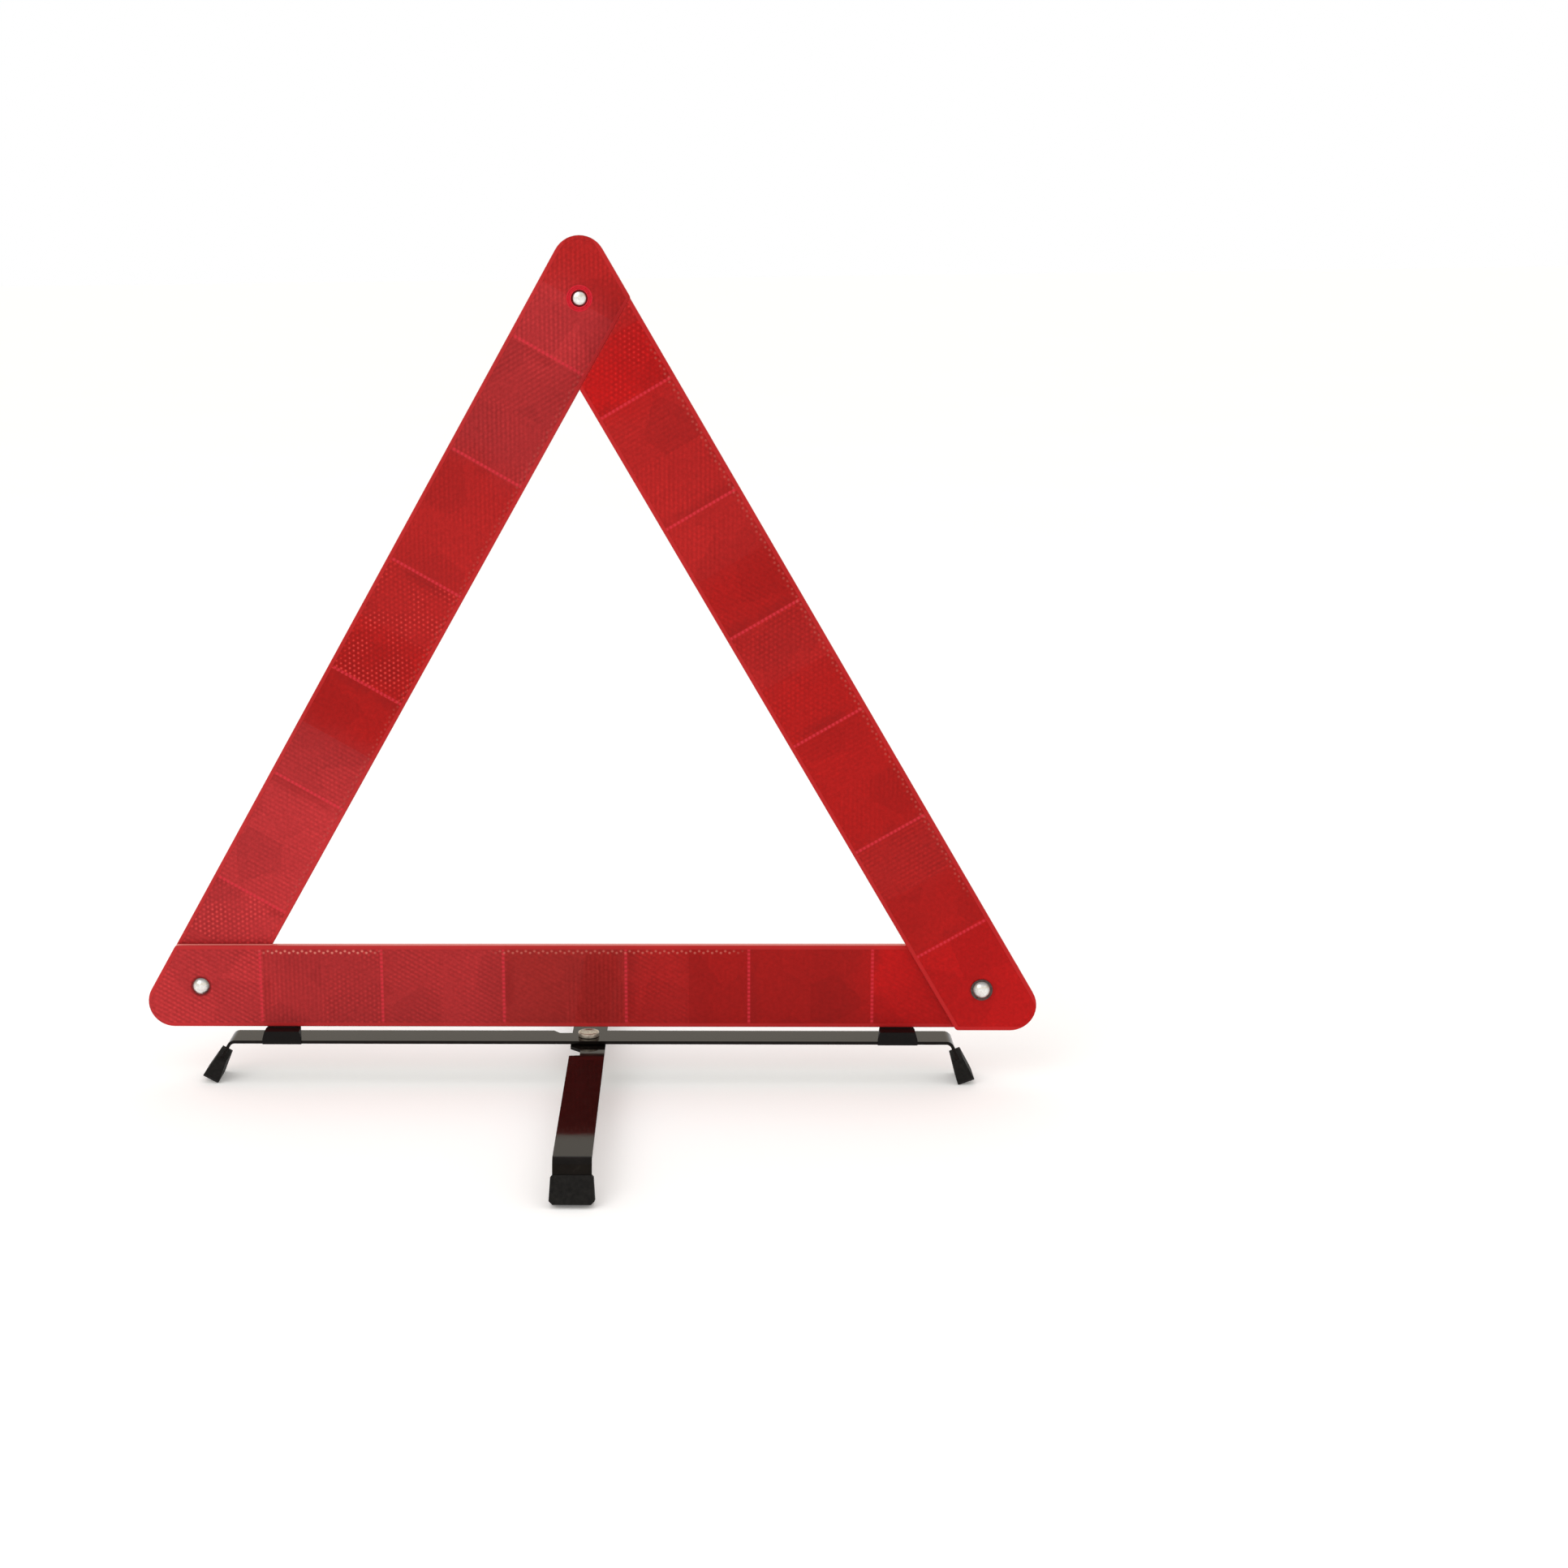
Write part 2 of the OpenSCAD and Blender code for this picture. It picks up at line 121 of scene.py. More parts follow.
class Nodes:
    """Short ways to add nodes to a material's or a group's tree."""

    def __init__(self, tree):
        self.tree = tree

    def add(self, kind, **settings):
        node = self.tree.nodes.new(kind)
        for name, value in settings.items():
            setattr(node, name, value)
        return node

    def put(self, socket, value):
        if isinstance(value, bpy.types.NodeSocket):
            self.tree.links.new(value, socket)
        else:
            socket.default_value = value

    def math(self, operation, *values, clamp=False):
        node = self.add("ShaderNodeMath", operation=operation, use_clamp=clamp)
        for socket, value in zip(node.inputs, values):
            self.put(socket, value)
        return node.outputs[0]

    def step(self, value, low, high):
        """0 below low and 1 above high, with a smooth rise between them."""
        node = self.add("ShaderNodeMapRange", interpolation_type="SMOOTHSTEP")
        for name, number in (("Value", value), ("From Min", low), ("From Max", high)):
            self.put(node.inputs[name], number)
        return node.outputs["Result"]

    def scaled(self, value, low, high):
        """A 0 to 1 value moved to low to high."""
        node = self.add("ShaderNodeMapRange")
        for name, number in (("Value", value), ("To Min", low), ("To Max", high)):
            self.put(node.inputs[name], number)
        return node.outputs["Result"]

    def noise(self, vector, scale, detail=2.0, roughness=0.5):
        node = self.add("ShaderNodeTexNoise")
        self.put(node.inputs["Vector"], vector)
        node.inputs["Scale"].default_value = scale
        node.inputs["Detail"].default_value = detail
        node.inputs["Roughness"].default_value = roughness
        return node.outputs["Fac"]

    def split(self, vector):
        node = self.add("ShaderNodeSeparateXYZ")
        self.put(node.inputs[0], vector)
        return node.outputs

    def join(self, x=0.0, y=0.0, z=0.0):
        node = self.add("ShaderNodeCombineXYZ")
        for socket, value in zip(node.inputs, (x, y, z)):
            self.put(socket, value)
        return node.outputs[0]

    def mix(self, factor, a, b, blend="MIX"):
        node = self.add("ShaderNodeMix", data_type="RGBA", blend_type=blend)
        for index, value in ((0, factor), (6, a), (7, b)):
            self.put(node.inputs[index], value)
        return node.outputs[2]

    def ramp(self, factor, stops, interpolation="LINEAR"):
        node = self.add("ShaderNodeValToRGB")
        node.color_ramp.interpolation = interpolation
        elements = node.color_ramp.elements
        while len(elements) < len(stops):
            elements.new(0.5)
        for element, (place, colour) in zip(elements, stops):
            element.position = place
            element.color = rgba(colour)
        self.put(node.inputs[0], factor)
        return node.outputs[0]

    def bump(self, height, strength, distance):
        node = self.add("ShaderNodeBump")
        node.inputs["Strength"].default_value = strength
        node.inputs["Distance"].default_value = distance
        self.put(node.inputs["Height"], height)
        return node.outputs[0]


def rgba(colour):
    return (*colour, 1.0)


def linear(red, green, blue):
    """A colour given as 0 to 255 screen values, as the linear numbers that nodes use."""
    return tuple(
        c / 12.92 if c <= 0.04045 else ((c + 0.055) / 1.055) ** 2.4
        for c in (red / 255, green / 255, blue / 255)
    )


def new_material(name):
    material = bpy.data.materials.new(name)
    material.use_nodes = True
    nodes = Nodes(material.node_tree)
    shader = material.node_tree.nodes["Principled BSDF"]
    place = nodes.add("ShaderNodeTexCoord").outputs["Object"]
    return material, nodes, shader, place


def set_numbers(shader, **numbers):
    """Sets the shader's own sockets; an underscore stands for a space."""
    for name, value in numbers.items():
        shader.inputs[name.replace("_", " ")].default_value = value


# ---- The prisms of the red lenses ----


def prism_rows():
    """Rows of corner cubes at 0, 60 and 120 degrees: three waves, which peak at each cube."""
    group = bpy.data.node_groups.new("prism_rows", "ShaderNodeTree")
    names = ("Across", "Rising", "Falling")
    group.interface.new_socket("Vector", in_out="INPUT", socket_type="NodeSocketVector")
    for name in names:
        group.interface.new_socket(name, in_out="OUTPUT", socket_type="NodeSocketFloat")
    n = Nodes(group)
    u, v, _ = n.split(n.add("NodeGroupInput").outputs["Vector"])
    result = n.add("NodeGroupOutput").inputs
    per_mm = 2 * math.pi / PRISM_ROW
    for name, degrees in zip(names, (0, 60, 120)):
        turn = math.radians(degrees)
        along = n.math("MULTIPLY", u, per_mm * math.cos(turn))
        across = n.math("MULTIPLY", v, per_mm * math.sin(turn))
        n.put(result[name], n.math("COSINE", n.math("ADD", along, across)))
    return group


PRISM_ROWS = prism_rows()
# Colours of the marks on a lens, as they look on a screen. The glints at the prism peaks, the
# shadow next to a seam, the highlight at the weld and the shade round a rivet are painted light.
MARKS = {
    "painted_prism_glint": (214, 84, 78),
    "painted_seam_shadow": (118, 18, 18),
    "seam": (208, 48, 62),
    "bead": (226, 138, 124),
    "rim": (190, 44, 46),
    "weld_highlight": (232, 150, 140),
    "painted_rivet_shade": (92, 18, 18),
}


def distance(n, x, y):
    return n.math("SQRT", n.math("ADD", n.math("MULTIPLY", x, x), n.math("MULTIPLY", y, y)))


def product(n, first, *others):
    for other in others:
        first = n.math("MULTIPLY", first, other)
    return first


def below(n, value, low, high):
    """1 below low and 0 above high."""
    return n.math("SUBTRACT", 1.0, n.step(value, low, high))


def mark(name):
    return rgba(linear(*MARKS[name]))


def inside_arm(n, u, v):
    """Distance in from an arm's outline, in millimetres."""
    from_tail = distance(n, n.math("MINIMUM", u, 0.0), v)
    from_head = n.math(
        "SUBTRACT",
        n.math("MULTIPLY", n.math("SUBTRACT", u, span / MM), math.cos(math.radians(30))),
        n.math("MULTIPLY", v, math.sin(math.radians(30))),
    )
    return n.math("SUBTRACT", arm_half / MM, n.math("MAXIMUM", from_tail, from_head))


def rim_beads(n, u, v, inside, back, side, start, end):
    """A zigzag row of small dots just inside the rim, between two distances back from the head."""
    middle = n.math("SUBTRACT", n.math("FLOORED_MODULO", u, PRISM_ROW), PRISM_ROW / 2)
    odd = n.math("GREATER_THAN", n.math("FLOORED_MODULO", u, 2 * PRISM_ROW), PRISM_ROW)
    line = n.math("ADD", RIM / MM + BEAD_INSET, n.math("MULTIPLY", odd, BEAD_ZIGZAG))
    dots = below(n, distance(n, middle, n.math("SUBTRACT", inside, line)), *BEAD_R)
    on_side = n.math("GREATER_THAN", n.math("MULTIPLY", v, side), 0.0)
    begun = n.step(back, start, start + BEAD_FADE)
    not_over = below(n, back, end - BEAD_FADE, end)
    return product(n, dots, on_side, begun, not_over)


def red_lens(name, origin, turn_y, blocks, beads):
    """Clear red plastic over corner-cube prisms, in the frame of one arm.

    blocks has the half blocks from the head to the tail, each with its shade, its pattern and how
    strongly the pattern shows. beads has rows of dots: side, start, end, strength.
    """
    material, n, shader, place = new_material(name)
    local = n.add("ShaderNodeMapping", vector_type="TEXTURE")
    n.put(local.inputs["Vector"], place)
    local.inputs["Location"].default_value = origin
    local.inputs["Rotation"].default_value = (0, turn_y, 0)
    local.inputs["Scale"].default_value = (MM, MM, MM)
    u, depth, v = n.split(local.outputs[0])
    flat = n.join(u, v)

    # How far this point is back from the head, as a share of all the half blocks
    count = len(blocks)
    back = n.math("SUBTRACT", span / MM - FIRST_SEAM + BLOCK, u)
    from_head = n.math("SUBTRACT", back, BLOCK - FIRST_SEAM)
    share = n.math("DIVIDE", back, count * BLOCK / 2)
    number = n.math("FLOOR", n.math("MULTIPLY", share, count))
    own = n.join(u, v, n.math("MULTIPLY", number, NOISE_APART))
    starts = [k / count for k in range(count)]
    middles = [(k + 0.5) / count for k in range(count)]
    reds = [linear(*REDS[shade]) for shade, _, _ in blocks]
    waved = n.math(
        "ADD", share, n.math("MULTIPLY", n.math("SUBTRACT", n.noise(flat, 0.03), 0.5), 1.2 / count)
    )
    colour = n.mix(
        BLOCK_EDGE, n.ramp(waved, list(zip(middles, reds)), "EASE"),
        n.ramp(share, list(zip(starts, reds)), "CONSTANT"),
    )

    # Light and dark facets that stop at the edges of a half block, and slow changes over them
    wobble = n.math("MULTIPLY", n.math("SUBTRACT", n.noise(flat, 0.05, 3.0), 0.5), FACET_WOBBLE)
    facets = n.add("ShaderNodeTexVoronoi")
    n.put(facets.inputs["Vector"], n.join(n.math("ADD", u, wobble), v, n.split(own)[2]))
    facets.inputs["Scale"].default_value = FACET_SCALE
    patches = product(
        n,
        n.scaled(n.split(facets.outputs["Color"])[0], *FACET_TONES),
        n.scaled(n.step(n.noise(flat, 0.014, 2.0), 0.25, 0.75), *PATCH_TONES),
    )
    grain = n.scaled(n.noise(flat, 0.45, 5.0, 0.85), *GRAIN_TONES)

    # Rows of prisms, with the weight that each direction has in this half block
    rows = n.add("ShaderNodeGroup", node_tree=PRISM_ROWS)
    n.put(rows.inputs["Vector"], flat)
    weights = n.split(
        n.ramp(
            share,
            [
                (start, tuple(strength * weight for weight in PATTERNS[pattern]))
                for start, (_, pattern, strength) in zip(starts, blocks)
            ],
            "CONSTANT",
        )
    )
    waves = 0.0
    for row, weight in zip(rows.outputs, weights):
        waves = n.math("ADD", waves, n.math("MULTIPLY", row, weight))
    fading = n.scaled(n.step(n.noise(own, 0.06, 1.0), 0.3, 0.65), *FADING)
    peaks = n.math("EXPONENT", product(n, waves, fading, PRISM_CONTRAST))
    tone = product(n, peaks, patches, grain)
    toned = n.mix(1.0, colour, n.join(tone, tone, tone), "MULTIPLY")
    # The strongest prism peaks turn pale pink: painted glints of the corner cubes
    painted_glint_mask = n.step(n.math("MULTIPLY", waves, fading), 1.3, 2.8)
    toned = n.mix(n.math("MULTIPLY", painted_glint_mask, 0.5), toned, mark("painted_prism_glint"))

    # The plain rim, the seams between blocks, and a painted shadow on one side of each seam
    inside = inside_arm(n, u, v)
    on_panel = n.step(inside, RIM / MM - 0.25, RIM / MM + 0.25)
    to_seam = n.math(
        "SUBTRACT",
        n.math("FLOORED_MODULO", n.math("ADD", back, 0.5 * BLOCK), BLOCK),
        BLOCK / 2,
    )
    # A dark band with a wavy edge on one side of each seam: painted shadow
    seam_shadow_mask = product(n, n.step(to_seam, 0.0, 1.2), below(n, to_seam, 2.0, 7.0))
    surface = n.mix(
        product(n, seam_shadow_mask, n.step(n.noise(flat, 0.05, 2.0), 0.4, 0.6), 0.32),
        toned, mark("painted_seam_shadow"),
    )
    seam = below(n, n.math("ABSOLUTE", to_seam), 0.3, 1.0)
    pulse = n.math("SINE", n.math("MULTIPLY", v, 2 * math.pi / PRISM_ROW))
    beaded = n.scaled(n.step(pulse, -0.6, 0.6), 0.35, 1.0)
    surface = n.mix(product(n, seam, beaded, 0.75), surface, mark("seam"))
    for side, start, end, strength in beads:
        dots = rim_beads(n, u, v, inside, from_head, side, start, end)
        surface = n.mix(n.math("MULTIPLY", dots, strength), surface, mark("bead"))
    patched = n.mix(1.0, colour, n.join(patches, patches, patches), "MULTIPLY")
    rim = n.mix(0.5, patched, mark("rim"))
    surface = n.mix(on_panel, rim, surface)

    # A pale line along the side, where the two lenses meet: painted highlight on the side edge
    to_weld = n.math("ABSOLUTE", depth)
    weld_highlight_mask = product(n, below(n, to_weld, 0.5, 1.6), below(n, inside, 0.2, 0.5))
    surface = n.mix(n.math("MULTIPLY", weld_highlight_mask, 0.75), surface, mark("weld_highlight"))

    # The lens is darker close to a rivet: painted shade round the rivet heads
    near = n.math(
        "MINIMUM", distance(n, u, v), distance(n, n.math("SUBTRACT", u, span / MM), v)
    )
    surface = n.mix(
        n.math("MULTIPLY", below(n, near, *RIVET_SHADE), 0.65), surface, mark("painted_rivet_shade")
    )
    n.put(shader.inputs["Base Color"], surface)
    n.put(shader.inputs["Roughness"], n.scaled(n.noise(flat, 0.4, 3.0), 0.3, 0.46))
    height = n.math("MULTIPLY", waves, on_panel)
    n.put(shader.inputs["Normal"], n.bump(height, 0.25, 0.08 * MM))
    set_numbers(
        shader,
        Specular_IOR_Level=0.25,
        Specular_Tint=(1.0, 0.12, 0.12, 1.0),
        Coat_Weight=0.12,
        Coat_Roughness=0.06,
        Coat_IOR=1.45,
    )
    return material


# ---- Other materials ----

# Colour of the painted shade round the rim of a metal head
PAINTED_RIM_SHADE = (0.12, 0.1, 0.09)


def red_plastic(name):
    material, n, shader, place = new_material(name)
    tone = n.noise(place, 900.0, 3.0)
    n.put(
        shader.inputs["Base Color"],
        n.ramp(tone, [(0.3, linear(184, 16, 32)), (0.7, linear(206, 22, 44))]),
    )
    n.put(shader.inputs["Roughness"], n.scaled(n.noise(place, 1200.0), 0.24, 0.36))
    n.put(shader.inputs["Normal"], n.bump(n.noise(place, 800.0, 2.0), 0.05, 0.1 * MM))
    set_numbers(shader, Specular_IOR_Level=0.15, Coat_Weight=0.15, Coat_Roughness=0.1)
    return material


def metal(name, dark, light, rough_low, rough_high, axis=None):
    """Bare metal with fine handling marks, and painted shade round the rim of a head turned about
    axis.

    axis is the X and Z of the head's centre and the radius of its rim.
    """
    material, n, shader, place = new_material(name)
    marks = n.noise(place, 900.0, 4.0, 0.6)
    colour = n.ramp(marks, [(0.3, dark), (0.7, light)])
    if axis:
        x, _, z = n.split(place)
        # The head darkens towards its rim, with a wobbly edge: painted shade
        out = distance(n, n.math("SUBTRACT", x, axis[0]), n.math("SUBTRACT", z, axis[1]))
        out_wobbled = n.math("ADD", out, n.scaled(n.noise(place, 500.0), -0.1 * axis[2], 0.1 * axis[2]))
        rim_shade_mask = n.step(out_wobbled, 0.55 * axis[2], 1.02 * axis[2])
        colour = n.mix(n.math("MULTIPLY", rim_shade_mask, 0.8), colour, rgba(PAINTED_RIM_SHADE))
    n.put(shader.inputs["Base Color"], colour)
    n.put(
        shader.inputs["Roughness"],
        n.scaled(n.noise(place, 700.0, 5.0), rough_low, rough_high),
    )
    n.put(shader.inputs["Normal"], n.bump(n.noise(place, 500.0, 2.0), 0.03, 0.05 * MM))
    set_numbers(shader, Metallic=1.0)
    return material


def black_paint(name):
    """Glossy black stoving paint: a little orange peel, dust and rubbed spots."""
    material, n, shader, place = new_material(name)
    dust = n.noise(place, 210.0, 6.0, 0.7)
    n.put(
        shader.inputs["Base Color"],
        n.ramp(
            dust,
            [(0.35, (0.003, 0.0022, 0.002)), (0.62, (0.006, 0.0045, 0.004)),
             (0.85, (0.02, 0.017, 0.014))],
        ),
    )
    n.put(shader.inputs["Roughness"], n.scaled(n.noise(place, 90.0, 5.0), 0.03, 0.09))
    n.put(shader.inputs["Normal"], n.bump(n.noise(place, 300.0, 2.0), 0.03, 0.1 * MM))
    set_numbers(shader, IOR=1.2, Specular_Tint=(1.0, 0.96, 0.9, 1.0))
    return material


def moulded(name, dark, light, grain, rough_low, rough_high, depth):
    """Matt moulded plastic or rubber."""
    material, n, shader, place = new_material(name)
    n.put(
        shader.inputs["Base Color"],
        n.ramp(n.noise(place, grain / 4, 5.0, 0.6), [(0.3, dark), (0.75, light)]),
    )
    n.put(
        shader.inputs["Roughness"],
        n.scaled(n.noise(place, grain, 3.0), rough_low, rough_high),
    )
    n.put(shader.inputs["Normal"], n.bump(n.noise(place, grain, 4.0), depth, 0.12 * MM))
    set_numbers(shader, Specular_IOR_Level=0.15)
    return material


# Reds of the lenses, as they look on a screen
REDS = {
    "deep": (148, 20, 18),
    "plain": (164, 22, 20),
    "bright": (174, 18, 18),
    "warm": (165, 30, 29),
    "brown": (148, 36, 34),
    "dusty": (163, 42, 44),
    "pale": (176, 47, 50),
}
# How strongly the three directions of the prisms' rows show
PATTERNS = {
    "smooth": (0.12, 0.12, 0.12),
    "columns": (0.9, 0.35, 0.35),
    "hatch": (0.25, 0.9, 0.35),
    "backhatch": (0.25, 0.35, 0.9),
    "dots": (0.9, 0.9, 0.9),
}
BASE_BLOCKS = [
    ("pale", "hatch", 0.9), ("pale", "hatch", 0.9),
    ("dusty", "columns", 0.7), ("dusty", "dots", 0.5),
    ("dusty", "hatch", 0.7), ("dusty", "hatch", 0.6),
    ("brown", "hatch", 0.4), ("brown", "columns", 0.5),
    ("warm", "hatch", 0.6), ("deep", "smooth", 0.7),
    ("deep", "smooth", 0.6), ("deep", "smooth", 0.6),
    ("bright", "hatch", 0.3), ("bright", "hatch", 0.3),
    ("bright", "smooth", 1.0),
]
LEFT_BLOCKS = [
    ("warm", "backhatch", 0.7), ("pale", "backhatch", 0.8),
    ("dusty", "hatch", 0.7), ("dusty", "backhatch", 0.7),
    ("warm", "backhatch", 0.5), ("warm", "backhatch", 0.4),
    ("warm", "dots", 0.8), ("plain", "dots", 1.0),
    ("plain", "smooth", 0.6), ("dusty", "columns", 0.6),
    ("pale", "columns", 0.5), ("pale", "columns", 0.6),
    ("pale", "dots", 0.8), ("pale", "columns", 0.9),
    ("dusty", "dots", 0.7),
]
RIGHT_BLOCKS = [
    ("bright", "smooth", 0.8), ("bright", "smooth", 1.0),
    ("plain", "smooth", 0.6), ("warm", "columns", 0.6),
    ("plain", "hatch", 0.3), ("plain", "columns", 0.3),
    ("plain", "dots", 0.4), ("warm", "dots", 0.45),
    ("plain", "backhatch", 0.4), ("warm", "hatch", 0.4),
    ("warm", "hatch", 0.6), ("warm", "columns", 0.4),
    ("bright", "dots", 0.6), ("warm", "dots", 0.7),
    ("dusty", "dots", 0.6),
]
# Rows of dots along an edge: side, start, end, strength
BASE_BEADS = [(-1, 26, 92, 0.65), (-1, 140, 268, 0.32)]
LEFT_BEADS = [(-1, 20, 330, 0.08)]
RIGHT_BEADS = [(1, 40, 350, 0.14)]


def arm_origin(arm, pivot):
    """The tail rivet's axis at the middle of the arm's thickness."""
    front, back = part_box(f"{arm}_front_lens")[0].y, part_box(f"{arm}_back_lens")[1].y
    return Vector((pivot.x, (front + back) / 2, pivot.z))


arm_places = {
    "base": (arm_origin("base", right_pivot), math.pi),
    "left": (arm_origin("left", left_pivot), -math.pi / 3),
    "right": (arm_origin("right", apex), math.pi / 3),
}
lens_red = {
    arm: red_lens(f"{arm}_lens_red", *arm_places[arm], blocks, beads)
    for arm, blocks, beads in (
        ("base", BASE_BLOCKS, BASE_BEADS),
        ("left", LEFT_BLOCKS, LEFT_BEADS),
        ("right", RIGHT_BLOCKS, RIGHT_BEADS),
    )
}
ring_red = red_plastic("ring_red")
BRIGHT_METAL = ((0.66, 0.65, 0.63), (0.88, 0.87, 0.85), 0.2, 0.32)  # shades and roughness
nickel = metal("centre_rivet_nickel", (0.36, 0.31, 0.25), (0.68, 0.61, 0.52), 0.3, 0.42)
zinc = metal("zinc_plate", (0.42, 0.43, 0.45), (0.66, 0.67, 0.68), 0.28, 0.45)
# A real washer, made dark so that it gives the ring of painted shade round the right rivet's head
washer_dark = metal("dark_washer", (0.05, 0.035, 0.035), (0.12, 0.09, 0.085), 0.35, 0.5)
paint = black_paint("black_paint")
clip_black = moulded(
    "clip_plastic", (0.001, 0.0006, 0.0006), (0.003, 0.0018, 0.0016), 1500.0, 0.5, 0.66, 0.2
)
rubber_black = moulded(
    "rubber", (0.003, 0.0028, 0.0025), (0.012, 0.011, 0.01), 2200.0, 0.62, 0.82, 0.4
)
nylon = moulded("nylon", (0.62, 0.6, 0.55), (0.78, 0.77, 0.72), 1200.0, 0.4, 0.55, 0.15)

# ---- Pieces ----


def weigh_normals(piece):
    """Lets the large faces set the normals, so that flat faces stay flat beside rounded edges."""
    modifier = piece.modifiers.new("weighted", "WEIGHTED_NORMAL")
    modifier.keep_sharp = True
    modifier.weight = 100
    shown = piece.evaluated_get(bpy.context.evaluated_depsgraph_get())
    mesh = bpy.data.meshes.new_from_object(shown)
    piece.modifiers.clear()
    piece.data = mesh


def finished(name, bm, material, body, stands_for):
    """Makes an object of bm in the row frame, which stands for a CAD node and rides on its body."""
    mesh = bpy.data.meshes.new(name)
    bmesh.ops.recalc_face_normals(bm, faces=bm.faces)
    bm.to_mesh(mesh)
    bm.free()
    mesh.shade_smooth()
    mesh.set_sharp_from_angle(angle=SHARP_ANGLE)
    piece = bpy.data.objects.new(name, mesh)
    bpy.context.scene.collection.objects.link(piece)
    weigh_normals(piece)
    mesh = piece.data
    mesh.materials.append(material)
    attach(piece, body)
    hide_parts(stands_for)
    return piece


def arc(mid, radius, start, end):
    """Points of an arc, with its angles in degrees."""
    return [
        Vector((mid[0] + radius * math.cos(angle), mid[1] + radius * math.sin(angle)))
        for angle in (
            math.radians(start + (end - start) * k / ARC_STEPS)
            for k in range(ARC_STEPS + 1)
        )
    ]


def arm_outline(inset, trimmed):
    """An arm's outline in u and v, drawn in by inset, always with the same number of points."""
    half = arm_half - inset
    tip_r = CORNER_R - inset
    low_r = max(BLUNT_R - inset, 0.4 * MM)
    tan30 = math.tan(math.radians(30))
    tip = (span + (half - tip_r) / tan30, half - tip_r)
    low = (span + half * tan30 - low_r * tan30, low_r - half)
    points = arc(low, low_r, -90, -30) + arc(tip, tip_r, -30, 90)
    if not trimmed:
        return points + arc((0, 0), half, 90, 270)
    reach = arm_half + inset
    top_u = (reach - half / 2) / math.cos(math.radians(30))
    low_u = (reach + half / 2) / math.cos(math.radians(30))
    ends = (Vector((top_u, half)), Vector((low_u, -half)))
    return points + [ends[0].lerp(ends[1], k / ARC_STEPS) for k in range(ARC_STEPS + 1)]


def loop(bm, points, depth):
    return [bm.verts.new((p[0], depth, p[1])) for p in points]


def band(bm, lower, upper):
    """Quads between two loops of the same number of points."""
    for k in range(len(lower)):
        after = (k + 1) % len(lower)
        bm.faces.new((lower[k], lower[after], upper[after], upper[k]))


def loop_edges(bm, verts):
    found = []
    for k, vert in enumerate(verts):
        pair = (vert, verts[(k + 1) % len(verts)])
        found.append(bm.edges.get(pair) or bm.edges.new(pair))
    return found


def sheet_with_holes(bm, outer, holes):
    edges = loop_edges(bm, outer)
    for hole in holes:
        edges += loop_edges(bm, hole)
    bmesh.ops.triangle_fill(bm, use_beauty=True, use_dissolve=False, edges=edges)


def lens(node, arm, body, tail_hole, head_hole, trimmed=False, rear=False):
    """One lens: a plate with a rounded edge, a plain rim and a slightly sunk reflecting panel."""
    bm = bmesh.new()
    outer = [loop(bm, arm_outline(WELD_GROOVE, trimmed), lens_depth)]
    outer.append(loop(bm, arm_outline(0, trimmed), lens_depth - WELD_GROOVE))
    for k in range(EDGE_STEPS + 1):
        angle = math.pi / 2 * k / EDGE_STEPS
        inset = EDGE_R * (1 - math.cos(angle))
        outer.append(loop(bm, arm_outline(inset, trimmed), EDGE_R * (1 - math.sin(angle))))
    outer.append(loop(bm, arm_outline(RIM, trimmed), 0))
    outer.append(loop(bm, arm_outline(RIM + PANEL_SINK, trimmed), PANEL_SINK))
    for lower, upper in zip(outer, outer[1:]):
        band(bm, lower, upper)
    holes = [(0, tail_hole), (span, head_hole)]
    if trimmed:
        holes = holes[1:]
    front, back = [], []
    for place, radius in holes:
        circle = [
            (place + radius * math.cos(a), radius * math.sin(a))
            for a in (2 * math.pi * k / HOLE_STEPS for k in range(HOLE_STEPS))
        ]
        front.append(loop(bm, circle, PANEL_SINK))
        back.append(loop(bm, circle, lens_depth))
        band(bm, front[-1], back[-1])
    sheet_with_holes(bm, outer[-1], front)
    sheet_with_holes(bm, outer[0], back)
    origin, turn_y = arm_places[arm]
    low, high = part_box(node)
    y = high.y if rear else low.y
    flip = Matrix.Scale(-1, 4, (0, 1, 0)) if rear else Matrix.Identity(4)
    place = Matrix.Translation((origin.x, y, origin.z)) @ Matrix.Rotation(turn_y, 4, "Y")
    bm.transform(place @ flip)
    return finished(f"{node}_panel", bm, lens_red[arm], body, node)


lens("base_front_lens", "base", "stand", RIVET_R, RIVET_R)
lens("base_back_lens", "base", "stand", SUNK_HEAD_R, RIVET_R, rear=True)
lens("left_front_lens", "left", "left_arm", TURNING_R, RING_R)
lens("left_back_lens", "left", "left_arm", TURNING_R, RIVET_R, rear=True)
lens("right_front_lens", "right", "right_arm", RIVET_R, TURNING_R, trimmed=True)
lens("right_back_lens", "right", "right_arm", RIVET_R, TURNING_R, trimmed=True, rear=True)


def softened(node, material, body, width, steps=2, sharp=30):
    """A copy of a CAD node with its sharp edges rounded."""
    bm = bmesh.new()
    bm.from_mesh(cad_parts[node].data)
    bmesh.ops.remove_doubles(bm, verts=bm.verts, dist=1e-6)
    bmesh.ops.dissolve_limit(
        bm, angle_limit=math.radians(0.5), verts=bm.verts, edges=bm.edges
    )
    edges = [
        edge
        for edge in bm.edges
        if len(edge.link_faces) == 2 and edge.calc_face_angle() > math.radians(sharp)
    ]
    bmesh.ops.bevel(
        bm,
        geom=edges,
        offset=width,
        offset_type="OFFSET",
        segments=steps,
        profile=0.5,
        affect="EDGES",
        clamp_overlap=True,
    )
    return finished(f"{node}_piece", bm, material, body, node)


